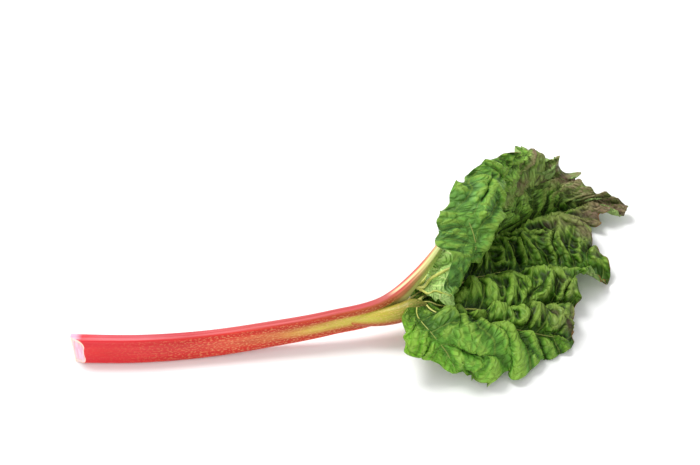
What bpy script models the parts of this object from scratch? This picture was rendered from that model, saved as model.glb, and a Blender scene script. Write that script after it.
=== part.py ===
"""Rhubarb stalk, picked whole: one leaf stalk lying on its side, with its crinkled leaf blade.

Metres, +Z up.  The stalk runs along +X from its cut end to the leaf.  The origin is on the
surface that the stalk lies on, under the middle of the object's box.  Lengths below are in
millimetres and angles in degrees; MM turns them into metres when the meshes are made.
"""
import math

import bmesh
import bpy
import numpy as np

MM = 0.001

# ---------------------------------------------------------------- driving dimensions
# The stalk: a D-shaped section, lying on its side with the shallow channel towards -Y.
STALK_WIDTH = 27.5        # from edge to edge of the channel face, which stands upright
STALK_LEAF_WIDTH = 22.5   # and where the leaf begins
STALK_FLATNESS = 0.57     # depth, from the channel face to the rounded back, to width
CHANNEL_DEPTH = 1.2       # how far the channel face is hollowed
FACE_ROUNDNESS = 3.6      # squareness of the two long edges beside the channel
BACK_ROUNDNESS = 2.4      # roundness of the back
# The cut end: a blunt end, and a slanting slice off its channel side.  Each plane is given by
# a point on it, from the leaf base, and the way it faces.
END_CUTS = (
    ((-282.5, 0, -17), (-1, 0, -0.06)),
    ((-272, -45.5, 0), (-0.45, -0.89, 0)),
)
REST_FLAT = 0.4           # the underside is level where it is lower than this
# Points along the middle of the stalk's underside, from the leaf base (x, y, z).
STALK_PATH = (
    (-293, -38.5, -30),
    (-222, -38.5, -30),
    (-168, -32.5, -29.5),
    (-115, -24.5, -25.5),
    (-63, -16, -19.5),
    (-16, -3, -13),
)
SHARP_ANGLE = 50.0        # edges sharper than this are shaded as edges
CUT_MARGIN = 1e-7         # metres: how near a cut counts as through a point
STALK_STATIONS = 24       # sections along the stalk
SECTION_POINTS = 24       # points round each section

# The far rib: the stalk's upper half carries on into the thickest rib of the blade.
FAR_RIB_SPOKE = 60.0      # the flat angle of the spoke that it follows
FAR_RIB_WIDTH = 13.0      # where it leaves the stalk
FAR_RIB_TIP = 3.0         # where it ends
FAR_RIB_START = 0.13      # how far along the spoke it begins
FAR_RIB_END = 0.62        # and ends
FAR_RIB_ROUND = 0.9       # depth to width
FAR_RIB_POINTS = 5        # points taken from the spoke
FAR_RIB_STATIONS = 14     # sections along it
FAR_RIB_GAP = 1.0         # between the rib and the underside of the blade
FAR_RIB_ASIDE = 1.0       # degrees to each side at which the blade's slope is read

# The blade, laid out flat: spokes from the leaf base.  Flat angle 0 is the midrib, minus is the
# near half and plus the far half.  Each spoke is five equal straight steps, and says which way
# each step heads in plan (0 is +X, 90 is +Y) and how steeply it climbs.
#   flat angle, length, headings, climbs
SPOKES = (
    (-162, 36, (-128, -118, -108, -105, -105), (33, 22, 14, 2, -20)),
    (-140, 58, (-100, -97, -96, -91, -80), (30, 20, 14, -15, -58)),
    (-120, 82, (-85, -90, -85, -70, -20), (25, 20, 10, -30, -70)),
    (-105, 105, (-70, -70, -60, -25, -10), (20, 15, 5, -45, -60)),
    (-90, 120, (-60, -45, -40, -35, -50), (10, 10, 0, -50, -65)),
    (-76, 135, (-45, -30, -20, -10, -30), (10, 5, 0, -35, -50)),
    (-62, 160, (-35, -15, 0, 5, -5), (5, -5, -10, -15, -20)),
    (-44, 165, (-25, -5, 20, 25, 20), (0, -10, -10, -10, -5)),
    (-24, 210, (30, 40, 20, 10, -15), (-5, -10, -10, -5, 5)),
    (-12, 240, (45, 50, 30, 25, 10), (-10, -10, -8, 0, 0)),
    (0, 290, (50, 50, 45, 35, -10), (-10, -10, -8, 0, 12)),
    (12, 285, (60, 55, 50, 40, 0), (-10, -10, -5, 0, 5)),
    (25, 275, (70, 65, 50, 50, 15), (-5, -10, 0, 0, 5)),
    (42, 230, (75, 65, 40, 50, 60), (5, -5, 5, 10, 15)),
    (60, 205, (52, 57, 60, 55, 55), (16, 18, 10, 5, 10)),
    (74, 172, (45, 25, 35, 80, 110), (18, 26, 18, 30, 15)),
    (88, 142, (45, 10, 30, 130, 140), (15, 20, 26, 52, 15)),
    (104, 88, (50, -5, -10, 140, 170), (12, 16, 20, 72, 48)),
    (118, 80, (46, -22, -52, -48, 160), (12, 6, 6, 26, 58)),
    (130, 53, (38, -56, -60, -54, -15), (14, 0, 3, 6, 20)),
)
STEPS = 5                                  # steps in each spoke
VEINS = (-140, -105, -62, -44, -24, 0, 25, 60, 88, 118)   # flat angles of the main ribs
HUMPS = (3, 5, 8, 11, 8, 6, 3, 0, 0)       # how high the blade stands between them
HUMP_STEEPNESS = 0.3      # most that a hump's height may be of the space between its ribs
HUMP_START = 20.0         # the humps begin this far from the leaf base
HUMP_FULL = 75.0          # and are full height from here
BLADE_GRID = 44           # squares along each side of the blade's grid
EVEN_ROUNDS = 4           # times that the folds and the normals are evened out
BLADE_CENTRE = 110.0      # middle of the grid, along the midrib
RIM_POINTS = 600          # points that the outline is read at
NOTCH_POINTS = 60         # and round the notch
NOTCH_SIDE = 90.0         # the notch turns this far to each side of the midrib
NOTCH_NEAR = 11.0         # the blade starts this far from the leaf base on the near half
NOTCH_FAR = 24.0          # and this far on the far half, past the far rib
BLADE_THICKNESS = 1.2
RIDGES = (-105, -62, -44, -24, 0, 25)      # flat angles of the ribs that thicken it
RIB_THICKNESS = 2.8       # a main rib, near the leaf base
RIB_SPREAD = 5.0          # half width of a rib's ridge
RIB_FADE = 220.0          # radius at which the ribs have sunk into the blade


# ---------------------------------------------------------------- curves
def smooth_curve(knots, values, at):
    """Points of a smooth curve through values at knots, read at each of at."""
    knots = np.asarray(knots, float)
    values = np.asarray(values, float)
    at = np.clip(at, knots[0], knots[-1])
    slopes = np.gradient(values, knots, axis=0)
    i = np.clip(np.searchsorted(knots, at, side="right") - 1, 0, len(knots) - 2)
    span = knots[i + 1] - knots[i]
    u = ((at - knots[i]) / span)[..., None]
    span = span[..., None]
    return ((2 * u**3 - 3 * u**2 + 1) * values[i] + (u**3 - 2 * u**2 + u) * span * slopes[i]
            + (3 * u**2 - 2 * u**3) * values[i + 1] + (u**3 - u**2) * span * slopes[i + 1])


def ease(x):
    """0 below 0, 1 above 1, smooth between."""
    x = np.clip(x, 0.0, 1.0)
    return x * x * (3 - 2 * x)


# ---------------------------------------------------------------- the blade's surface
SPOKE_ANGLES = np.array([s[0] for s in SPOKES], float)
SPOKE_LENGTHS = np.array([s[1] for s in SPOKES], float)


def walk(length, headings, climbs):
    """The corner points of a spoke, from the leaf base outwards."""
    step = length / STEPS
    points = [np.zeros(3)]
    for heading, climb in zip(headings, climbs):
        h = math.radians(heading)
        c = math.radians(climb)
        move = np.array((math.cos(c) * math.cos(h), math.cos(c) * math.sin(h), math.sin(c)))
        points.append(points[-1] + step * move)
    return np.array(points)


SPOKE_POINTS = np.array([walk(s[1], s[2], s[3]) for s in SPOKES])


def reach(angle):
    """Length of the flat blade in the direction of each flat angle."""
    return smooth_curve(SPOKE_ANGLES, SPOKE_LENGTHS[:, None], angle)[..., 0]


def folded(angle, share):
    """Point on the folded blade, a share of the way out along each flat angle."""
    knots = np.linspace(0.0, 1.0, STEPS + 1)
    rings = np.stack([smooth_curve(knots, p, share) for p in SPOKE_POINTS])
    i = np.clip(np.searchsorted(SPOKE_ANGLES, angle, side="right") - 1, 0, len(SPOKES) - 2)
    slopes = np.gradient(rings, SPOKE_ANGLES, axis=0)
    pick = np.arange(len(angle))
    span = SPOKE_ANGLES[i + 1] - SPOKE_ANGLES[i]
    u = ((angle - SPOKE_ANGLES[i]) / span)[:, None]
    span = span[:, None]
    return ((2 * u**3 - 3 * u**2 + 1) * rings[i, pick]
            + (u**3 - 2 * u**2 + u) * span * slopes[i, pick]
            + (3 * u**2 - 2 * u**3) * rings[i + 1, pick]
            + (u**3 - u**2) * span * slopes[i + 1, pick])


def hump(angle, radius, share):
    """Height of the bulge between two ribs."""
    veins = np.array(VEINS, float)
    i = np.clip(np.searchsorted(veins, angle, side="right") - 1, 0, len(veins) - 2)
    u = (angle - veins[i]) / (veins[i + 1] - veins[i])
    between = np.sin(np.pi * np.clip(u, 0.0, 1.0)) ** 2
    grown = ease((radius - HUMP_START) / (HUMP_FULL - HUMP_START))
    space = np.linalg.norm(folded(veins[i + 1], share) - folded(veins[i], share), axis=1)
    height = np.minimum(np.array(HUMPS, float)[i], HUMP_STEEPNESS * space)
    return height * between * grown


def rib_distance(angle, radius):
    """Distance in the flat blade to the nearest rib that thickens it."""
    off = np.abs(angle[:, None] - np.array(RIDGES, float))
    return radius * np.sin(np.radians(np.minimum(off.min(axis=1), 90.0)))


def outline():
    """Distance from the grid's middle to the blade's edge, for directions all the way round."""
    sweep = np.linspace(SPOKE_ANGLES[0], SPOKE_ANGLES[-1], RIM_POINTS)
    edge = np.radians(sweep)
    rim = reach(sweep)[:, None] * np.stack((np.cos(edge), np.sin(edge)), axis=1)
    sweep = np.linspace(NOTCH_SIDE, -NOTCH_SIDE, NOTCH_POINTS)
    start = NOTCH_NEAR + (NOTCH_FAR - NOTCH_NEAR) * ease(sweep / FAR_RIB_SPOKE)
    edge = np.radians(sweep)
    notch = start[:, None] * np.stack((np.cos(edge), np.sin(edge)), axis=1)
    loop = np.concatenate((rim, notch)) - (BLADE_CENTRE, 0.0)
    direction = np.degrees(np.arctan2(loop[:, 1], loop[:, 0]))
    order = np.argsort(direction)
    return direction[order], np.hypot(loop[:, 0], loop[:, 1])[order]


def blade_layout(cells):
    """Flat angle and radius of every point of a square grid mapped onto the blade."""
    side = np.linspace(-1.0, 1.0, cells + 1)
    a, b = np.meshgrid(side, side, indexing="ij")
    u = a * np.sqrt(1 - b * b / 2)
    v = b * np.sqrt(1 - a * a / 2)
    direction = np.degrees(np.arctan2(v, u)).ravel()
    directions, distances = outline()
    far = np.interp(direction, directions, distances, period=360.0)
    out = np.hypot(u, v).ravel() * far
    x = BLADE_CENTRE + out * np.cos(np.radians(direction))
    y = out * np.sin(np.radians(direction))
    return np.degrees(np.arctan2(y, x)), np.hypot(x, y)


def evened(values, cells, rounds):
    """Values on the grid, each drawn towards the mean of its neighbours; ends of rows stay."""
    grid = values.reshape(cells + 1, cells + 1, 3).copy()
    for _ in range(rounds):
        for lines in (grid, grid.transpose(1, 0, 2)):
            lines[1:-1] = (lines[:-2] + 2 * lines[1:-1] + lines[2:]) / 4
    return grid.reshape(-1, 3)


def grid_normals(points, cells):
    """Unit normals of the grid, towards the blade's upper side, evened out a little."""
    grid = points.reshape(cells + 1, cells + 1, 3)
    across = np.cross(np.gradient(grid, axis=0), np.gradient(grid, axis=1))
    across = evened(across.reshape(-1, 3), cells, EVEN_ROUNDS)
    return across / np.linalg.norm(across, axis=1)[:, None]


def blade_points(cells):
    """The upper side of the folded blade on a grid, from the leaf base, with its normals."""
    angle, radius = blade_layout(cells)
    share = np.clip(radius / reach(angle), 0.0, 1.0)
    points = evened(folded(angle, share), cells, EVEN_ROUNDS)
    normals = grid_normals(points, cells)
    points = points + normals * hump(angle, radius, share)[:, None]
    return evened(points, cells, 1), angle, radius


# ---------------------------------------------------------------- meshes
def material(name, colour, roughness):
    """A plain Principled material."""
    new = bpy.data.materials.new(name)
    new.use_nodes = True
    shader = new.node_tree.nodes["Principled BSDF"]
    shader.inputs["Base Color"].default_value = (*colour, 1.0)
    shader.inputs["Roughness"].default_value = roughness
    shader.inputs["Metallic"].default_value = 0.0
    return new


def finish(mesh_data, name, finish_material):
    """Make the mesh an object with its material and smooth shading."""
    mesh = bpy.data.meshes.new(name)
    mesh_data.to_mesh(mesh)
    mesh_data.free()
    mesh.shade_smooth()
    mesh.set_sharp_from_angle(angle=math.radians(SHARP_ANGLE))
    mesh.materials.append(finish_material)
    part = bpy.data.objects.new(name, mesh)
    bpy.context.collection.objects.link(part)
    return part


def add_sheet(mesh_data, points, cells):
    """Add a square sheet of quads through the given points, and return its faces."""
    made = bmesh.ops.create_grid(mesh_data, x_segments=cells, y_segments=cells, size=1.0)
    order = sorted(made["verts"], key=lambda v: (round(v.co.x, 5), round(v.co.y, 5)))
    for vertex, point in zip(order, points):
        vertex.co = point * MM
    return {face for vertex in made["verts"] for face in vertex.link_faces}


def leaf_blade(blade_material):
    """The blade: one folded sheet with a real thickness, thicker along its ribs."""
    points, angle, radius = blade_points(BLADE_GRID)
    normals = grid_normals(points, BLADE_GRID)
    near_rib = ease(1 - rib_distance(angle, radius) / RIB_SPREAD)
    taper = 1 - ease(radius / RIB_FADE)
    thickness = BLADE_THICKNESS + (RIB_THICKNESS - BLADE_THICKNESS) * near_rib * taper
    mesh_data = bmesh.new()
    add_sheet(mesh_data, points, BLADE_GRID)
    add_sheet(mesh_data, points - normals * thickness[:, None], BLADE_GRID)
    rims = [edge for edge in mesh_data.edges if edge.is_boundary]
    bmesh.ops.bridge_loops(mesh_data, edges=rims)
    bmesh.ops.recalc_face_normals(mesh_data, faces=mesh_data.faces)
    return finish(mesh_data, "leaf_blade", blade_material)


def far_rib_line():
    """Points, with widths, that the far rib passes through, beside the blade's underside."""
    shares = np.linspace(FAR_RIB_START, FAR_RIB_END, FAR_RIB_POINTS)
    aside = (FAR_RIB_SPOKE - FAR_RIB_ASIDE, FAR_RIB_SPOKE, FAR_RIB_SPOKE + FAR_RIB_ASIDE)
    around = np.tile(aside, FAR_RIB_POINTS)
    line = folded(around, shares.repeat(3)).reshape(FAR_RIB_POINTS, 3, 3)
    upper = np.cross(np.gradient(line[:, 1], axis=0), line[:, 2] - line[:, 0])
    upper /= np.linalg.norm(upper, axis=1)[:, None]
    widths = np.linspace(FAR_RIB_WIDTH, FAR_RIB_TIP, FAR_RIB_POINTS)
    off = widths / 2 + BLADE_THICKNESS + FAR_RIB_GAP
    return line[:, 1] - upper * off[:, None], widths


def stalk_stations():
    """Middles, widths and depths of the sections: along the stalk, then along the far rib."""
    rib, rib_widths = far_rib_line()
    half = np.linspace(STALK_WIDTH, STALK_LEAF_WIDTH, len(STALK_PATH)) / 2
    under = np.array(STALK_PATH, float)
    under[:, 2] += half
    middles = np.concatenate((under, rib))
    stalk_widths = np.linspace(STALK_WIDTH, STALK_LEAF_WIDTH, len(under))
    widths = np.concatenate((stalk_widths, rib_widths))
    depths = np.concatenate((stalk_widths * STALK_FLATNESS, rib_widths * FAR_RIB_ROUND))
    knots = np.append(0.0, np.cumsum(np.linalg.norm(np.diff(middles, axis=0), axis=1)))
    joint = knots[len(under) - 1]
    at = np.append(np.linspace(0.0, joint, STALK_STATIONS),
                   np.linspace(joint, knots[-1], FAR_RIB_STATIONS + 1)[1:])
    sizes = np.stack((widths, depths), axis=1)
    return smooth_curve(knots, middles, at), smooth_curve(knots, sizes, at)


def section(width, depth):
    """A D-shaped section, as (back, up) points: upright channel face, rounded back."""
    points = []
    for k in range(SECTION_POINTS):
        turn = 2 * math.pi * (k + 0.5) / SECTION_POINTS
        back = math.cos(turn)
        up = math.sin(turn)
        power = BACK_ROUNDNESS if back > 0 else FACE_ROUNDNESS
        scale = (abs(back) ** power + abs(up) ** power) ** (-1 / power)
        hollow = CHANNEL_DEPTH * math.cos(math.pi / 2 * up * scale) ** 2 if back < 0 else 0.0
        hollow *= width / STALK_WIDTH
        points.append((back * scale * depth / 2 + hollow, up * scale * width / 2))
    return points


def stalk(stalk_material):
    """The stalk and its far rib: one solid swept through its sections, then cut at its end."""
    middles, sizes = stalk_stations()
    along = np.gradient(middles, axis=0)
    along /= np.linalg.norm(along, axis=1)[:, None]
    floor = STALK_PATH[0][2]
    mesh_data = bmesh.new()
    rings = []
    for k, (middle, (width, depth)) in enumerate(zip(middles, sizes)):
        up = np.array((0.0, 0.0, 1.0)) - along[k] * along[k, 2]
        up /= np.linalg.norm(up)
        back = np.cross(up, along[k])
        ring = []
        for b, u in section(width, depth):
            point = middle + back * b + up * u
            if point[2] < floor + REST_FLAT:
                point[2] = floor
            ring.append(mesh_data.verts.new(point * MM))
        rings.append(ring)
    for ring, following in zip(rings, rings[1:]):
        for j in range(SECTION_POINTS):
            n = (j + 1) % SECTION_POINTS
            mesh_data.faces.new((ring[j], ring[n], following[n], following[j]))
    mesh_data.faces.new(rings[0])
    mesh_data.faces.new(rings[-1])
    for place, facing in END_CUTS:
        everything = mesh_data.verts[:] + mesh_data.edges[:] + mesh_data.faces[:]
        bmesh.ops.bisect_plane(mesh_data, geom=everything, dist=CUT_MARGIN, clear_outer=True,
                               plane_co=[c * MM for c in place], plane_no=facing)
        rim = [edge for edge in mesh_data.edges if edge.is_boundary]
        bmesh.ops.contextual_create(mesh_data, geom=rim)
    bmesh.ops.recalc_face_normals(mesh_data, faces=mesh_data.faces)
    return finish(mesh_data, "stalk", stalk_material)


# ---------------------------------------------------------------- build
def clear_scene():
    """Remove whatever objects are there already."""
    for old in list(bpy.data.objects):
        bpy.data.objects.remove(old, do_unlink=True)


def stand_on_origin(parts):
    """Shift every mesh so that the middle of the whole box's underside is the origin."""
    corners = np.array([tuple(v.co) for part in parts for v in part.data.vertices])
    low = corners.min(axis=0)
    high = corners.max(axis=0)
    middle = np.array(((low[0] + high[0]) / 2, (low[1] + high[1]) / 2, low[2]))
    for part in parts:
        for vertex in part.data.vertices:
            vertex.co = np.array(vertex.co) - middle


def main():
    """Build the two pieces of the rhubarb stalk."""
    clear_scene()
    stalk_red = material("stalk_red", (0.62, 0.045, 0.05), 0.35)
    leaf_green = material("leaf_green", (0.09, 0.22, 0.03), 0.5)
    parts = [stalk(stalk_red), leaf_blade(leaf_green)]
    stand_on_origin(parts)


main()
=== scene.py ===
import math

import bmesh
import bpy
import numpy as np
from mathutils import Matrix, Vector, kdtree


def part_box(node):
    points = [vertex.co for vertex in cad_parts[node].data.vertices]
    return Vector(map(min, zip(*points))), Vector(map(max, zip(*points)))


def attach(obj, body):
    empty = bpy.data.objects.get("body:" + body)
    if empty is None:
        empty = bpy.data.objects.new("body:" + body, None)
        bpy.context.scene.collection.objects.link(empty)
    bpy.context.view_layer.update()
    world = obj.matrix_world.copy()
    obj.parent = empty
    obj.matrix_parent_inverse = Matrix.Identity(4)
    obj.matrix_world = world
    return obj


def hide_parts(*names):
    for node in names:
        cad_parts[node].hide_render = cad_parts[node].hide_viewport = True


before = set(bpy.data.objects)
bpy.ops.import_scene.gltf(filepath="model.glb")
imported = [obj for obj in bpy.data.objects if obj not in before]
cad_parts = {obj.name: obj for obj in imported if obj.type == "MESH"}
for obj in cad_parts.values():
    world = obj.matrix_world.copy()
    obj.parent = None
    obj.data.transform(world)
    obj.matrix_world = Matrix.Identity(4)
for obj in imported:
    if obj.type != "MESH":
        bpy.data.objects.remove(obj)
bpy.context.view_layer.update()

# A rhubarb stalk lying on its side with its crinkled leaf, on a pale floor in soft light.
# Lengths are in millimetres from the leaf base and angles in degrees; MM makes them metres.
MM = 0.001

# ---------------------------------------------------------------- the blade laid out flat
# Spokes from the leaf base: flat angle, length, and the way each of five steps heads and climbs.
SPOKES = (
    (-162, 36, (-128, -118, -108, -105, -105), (33, 22, 14, 2, -20)),
    (-140, 58, (-100, -97, -96, -91, -80), (30, 20, 14, -15, -58)),
    (-120, 82, (-85, -90, -85, -70, -20), (25, 20, 10, -30, -70)),
    (-105, 105, (-70, -70, -60, -25, -10), (20, 15, 5, -45, -60)),
    (-90, 120, (-60, -45, -40, -35, -50), (10, 10, 0, -50, -65)),
    (-76, 135, (-45, -30, -20, -10, -30), (10, 5, 0, -35, -50)),
    (-62, 160, (-35, -15, 0, 5, -5), (5, -5, -10, -15, -20)),
    (-44, 165, (-25, -5, 20, 25, 20), (0, -10, -10, -10, -5)),
    (-24, 210, (30, 40, 20, 10, -15), (-5, -10, -10, -5, 5)),
    (-12, 240, (45, 50, 30, 25, 10), (-10, -10, -8, 0, 0)),
    (0, 290, (50, 50, 45, 35, -10), (-10, -10, -8, 0, 12)),
    (12, 285, (60, 55, 50, 40, 0), (-10, -10, -5, 0, 5)),
    (25, 275, (70, 65, 50, 50, 15), (-5, -10, 0, 0, 5)),
    (42, 230, (75, 65, 40, 50, 60), (5, -5, 5, 10, 15)),
    (60, 205, (52, 57, 60, 55, 55), (16, 18, 10, 5, 10)),
    (74, 172, (45, 25, 35, 80, 110), (18, 26, 18, 30, 15)),
    (88, 142, (45, 10, 30, 130, 140), (15, 20, 26, 52, 15)),
    (104, 88, (50, -5, -10, 140, 170), (12, 16, 20, 72, 48)),
    (118, 80, (46, -22, -52, -48, 160), (12, 6, 6, 26, 58)),
    (130, 53, (38, -56, -60, -54, -15), (14, 0, 3, 6, 20)),
)
STEPS = 5
VEINS = (-140, -105, -62, -44, -24, 0, 25, 60, 88, 118)   # flat angles of the main ribs
HUMPS = (3, 5, 8, 11, 8, 6, 3, 0, 0)       # how high the blade stands between them
HUMP_STEEPNESS = 0.3
HUMP_START = 20.0
HUMP_FULL = 75.0
COARSE_GRID = 44          # squares along a side of the grid that the folds are made on
FINE_GRID = 220           # and of the grid that the crinkles are made on
EVEN_ROUNDS = 4
BLADE_CENTRE = 110.0
RIM_POINTS = 600
NOTCH_POINTS = 60
FAR_RIB_SPOKE = 60.0
NOTCH_SIDE = 90.0
NOTCH_NEAR = 11.0
NOTCH_FAR = 24.0
CAD_THICKNESS = 1.2
CAD_RIDGES = (-105, -62, -44, -24, 0, 25)
CAD_RIB_THICKNESS = 2.8
CAD_RIB_SPREAD = 5.0
CAD_RIB_FADE = 220.0

# ---------------------------------------------------------------- the blade's fine relief
BLADE_THICKNESS = 0.7
PLEAT_VEINS = (-140, -105, -62, -44, -24, 0, 60, 88, 118)
PLEAT_SPACINGS = (13, 20, 15, 13, 13, 24, 18, 14)   # between side veins, for each two ribs
PLEAT_LEAN = 35.0         # degrees that a side vein leans outwards from square to its rib
PLEAT_HEIGHTS = (3.5, 8.5, 7.0, 6.5, 6.5, 9.0, 6.5, 4.5)
PLEAT_SHARPNESS = (0.1, 0.45, 0.6, 0.9, 0.9, 0.8, 0.5, 0.3)   # rounded pillows to sharp crests
PLEAT_SIDESTEP = 4.5      # how far the crests swing from side to side
PUCKER_SPACING = 8.5
PUCKER_HEIGHT = 1.9
CRUMPLES = ((14, 2.6, 21), (7, 1.3, 22))   # size, height and draw of each
BAYS = (0, 0.03, 0.05, 0.07, 0.10, 0.05, 0.0, 0.0, 0.0)
LOBE_LENGTH = 36.0
LOBE_DEPTH = 3.4
LOBE_OUT = 2.0
LOBE_ROUND = 0.9
LOBE_WAVER = 0.5          # how unevenly the lobes follow each other
TOOTH_WAVER = 0.7
WAVERS = ((23.0, 0.0), (9.7, 1.0))     # length and start of the waves that make them uneven
LIVELY_FROM = 40.0        # a blade shorter than this has a plain margin
LIVELY_OVER = 60.0
# each part of the blade: the flat angle where it starts, and how soon it is reached past it
FAR_HALF = ((0, 20), (75, -20))
FLAP = (60, 15)
NEAR_HALF = (-60, -15)
FAR_CALM = 0.6            # how much shallower the bays of the far half are
FLAP_LOBES = 0.9          # and how much deeper those of the folded-over part
NEAR_LOBES = 0.4          # and of the near half
TOOTH_LENGTH = 12.0
TOOTH_DEPTH = 0.4
RUFFLE_LENGTH = 38.0      # one wave of the margin
RUFFLE_HEIGHT = 5.0
RUFFLE_REACH = 17.0       # how far in from the margin the waves fade
CURL_DROP = 4.0           # how far the margin curls down
WANDER_WAVES = 7
MARGIN_POINTS = 2400
PUCKER_SEED = 4
PUCKER_RADIUS = 3.2
PUCKER_ROUND = 0.7
PLEAT_SHIFT = 0.37
# slow changes over the blade: size, strength and draw of each
PLEAT_WANDERS = ((38, 0.6, 11), (14, 0.22, 12))
PLEAT_SWELL = (24, 0.5, 3)
RUFFLE_WANDER = (60, 1.6, 5)
FLUTTER_WANDER = (40, 2.0, 6)
CURL_WANDER = (50, 1.0, 7)
PILLOW_ROUND = 0.75
RELIEF_ROUNDS = 14
CREST_WIDTH = 1.1
CREST_OF_PLEAT = 0.6      # how much of the crest mark is the side fold's
CREST_OF_HUMP = 0.4       # and how much the space between two ribs
CRUMPLE_AT_MARGIN = 0.4
PUCKER_SCATTER = 0.38     # how far a cell is from its place in even rows
CALM_AT_RIB = 0.25        # share of the small crumples that is left beside a rib
NEAR_CALM = 0.65          # how much smaller the crumples of the near half are
NEAR_CALM_PART = (-50, -20)
PLEAT_FADE = 25.0         # how far in from the margin the side folds are full height
PLEAT_AT_MARGIN = 0.5
RIDGE_ROUNDS = 4
RIB_VALLEY = 11.0
CRINKLE_START = 14.0
CRINKLE_FULL = 55.0
EXTRA_HUMP = 3.5
RUFFLE_START = 60.0
FLUTTER_LENGTH = 13.0
FLUTTER_HEIGHT = 0.9
FLUTTER_REACH = 7.0
CURL_REACH = 8.0
FLOOR_GAP = 1.4
FLOOR_SOFT = 0.5
MARGIN_THIN = 0.5
MARGIN_FULL = 6.0
SHARP_ANGLE = 60.0

# ---------------------------------------------------------------- the ribs
# flat angle, radius of the rib at its start, how far out it starts
RIBS = ((-140, 0.7, 10), (-105, 1.2, 10), (-62, 2.2, 10), (-44, 2.2, 10), (-24, 2.4, 10),
        (0, 2.6, 10), (25, 2.2, 16), (88, 1.6, 21), (118, 1.3, 21))
RIB_TIP = 0.35
RIB_TAPER = 1.1
RIB_END = 0.93            # how far towards the margin the ribs run
RIB_CLEAR = 5.0           # and at least this far short of it
RIB_STEP = 2.5
RIB_ROUNDS = 6
RIB_KINDS = (("upper_ribs", 0.45, 0.35), ("under_ribs", 1.0, 0.95))   # name, thickness, depth
TUBE_SIDES = 10

# ---------------------------------------------------------------- the stalk
STALK_WIDTH = 27.5
STALK_LEAF_WIDTH = 22.5
STALK_FLATNESS = 0.57
CHANNEL_DEPTH = 1.2
FACE_ROUNDNESS = 3.6
BACK_ROUNDNESS = 2.4
END_CUTS = (
    ((-282.5, 0, -17), (-1, 0, -0.06)),
    ((-272, -45.5, 0), (-0.45, -0.89, 0)),
)
STALK_PATH = (
    (-293, -38.5, -30),
    (-222, -38.5, -30),
    (-168, -32.5, -29.5),
    (-115, -24.5, -25.5),
    (-63, -16, -19.5),
    (-16, -3, -13),
)
CUT_MARGIN = 1e-7
CUT_WELD = 0.0003
CUT_RINGS = ((0.5, 0.95), (1.3, 0.92), (2.5, 0.86), (4.5, 0.75), (6.0, 0.6))   # depth, size
STALK_STATIONS = 150
SECTION_POINTS = 72
FAR_RIB_WIDTH = 11.0
FAR_RIB_TIP = 1.4
FAR_RIB_START = 0.13
FAR_RIB_END = 0.8
FAR_RIB_ROUND = 0.9
FAR_RIB_POINTS = 7
FAR_RIB_STATIONS = 70
FAR_RIB_GAP = 1.0
FAR_RIB_ASIDE = 1.0
FAR_RIB_TAPER = 1.2
FAR_RIB_LET_IN = 0.4      # how far its tip's middle is below the blade's upper side
STRIPES = 14
STRIPE_DEPTH = 0.18
STRIPE_WANDER = 30.0
STRIPE_SWING = 0.6
STALK_ROUND = 75.0

# the end of the stalk that runs on under the near lobe: its middle and its radius
THROAT = (
    (-52, -12.5, -7.5, 4.5),
    (-32, -12, -6, 7.6),
    (-15, -11, -5, 8.3),
    (0, -8.5, -2.5, 8.3),
    (10, -4.5, 0, 7.2),
    (20, -2, -0.5, 2.5),
)
# its end reaches the channel's dark green, painted shade in the gap under the near lobe
THROAT_FADES = ((-52, -22, 12), (0.87, 0.95, 1.0))   # places along it, and what they match
THROAT_RISE = 3.0         # how far the middle of the channel is above the throat's middle
THROAT_STATIONS = 40
THROAT_SIDES = 32

# ---------------------------------------------------------------- colours of the stalk's skin
# by share of the way to the leaf: in the channel, along its edges and over the rounded back
# the channel's last stops darken to green: painted shade where it runs in under the near lobe
SKIN_FACE = (
    (0.0, (0.90, 0.30, 0.36)), (0.05, (0.84, 0.035, 0.040)), (0.07, (0.78, 0.022, 0.025)),
    (0.14, (0.72, 0.022, 0.024)), (0.27, (0.73, 0.036, 0.036)), (0.40, (0.71, 0.045, 0.034)),
    (0.53, (0.74, 0.100, 0.045)), (0.66, (0.72, 0.210, 0.060)), (0.79, (0.72, 0.560, 0.090)),
    (0.93, (0.62, 0.560, 0.065)), (0.96, (0.54, 0.480, 0.050)), (1.0, (0.16, 0.220, 0.030)),
)
SKIN_EDGE = (
    (0.0, (0.90, 0.30, 0.40)), (0.05, (0.80, 0.030, 0.045)), (0.08, (0.76, 0.020, 0.032)),
    (0.27, (0.71, 0.020, 0.022)), (0.40, (0.67, 0.018, 0.014)), (0.53, (0.70, 0.026, 0.014)),
    (0.66, (0.62, 0.032, 0.014)), (0.79, (0.56, 0.042, 0.012)), (0.93, (0.48, 0.075, 0.016)),
    (1.0, (0.44, 0.090, 0.025)),
)
SKIN_LOW = (
    (0.0, (0.90, 0.30, 0.40)), (0.05, (0.80, 0.030, 0.045)), (0.08, (0.74, 0.020, 0.028)),
    (0.53, (0.68, 0.020, 0.014)), (0.79, (0.66, 0.030, 0.016)), (1.0, (0.76, 0.060, 0.035)),
)
SKIN_BACK = (
    (0.0, (0.92, 0.50, 0.72)), (0.05, (0.88, 0.40, 0.55)), (0.07, (0.70, 0.020, 0.035)),
    (0.12, (0.64, 0.060, 0.080)), (0.27, (0.62, 0.090, 0.110)), (0.40, (0.62, 0.060, 0.075)),
    (0.53, (0.62, 0.080, 0.080)), (0.66, (0.60, 0.070, 0.072)), (0.79, (0.56, 0.060, 0.060)),
    (0.93, (0.56, 0.062, 0.065)), (1.0, (0.52, 0.080, 0.070)),
)
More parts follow.
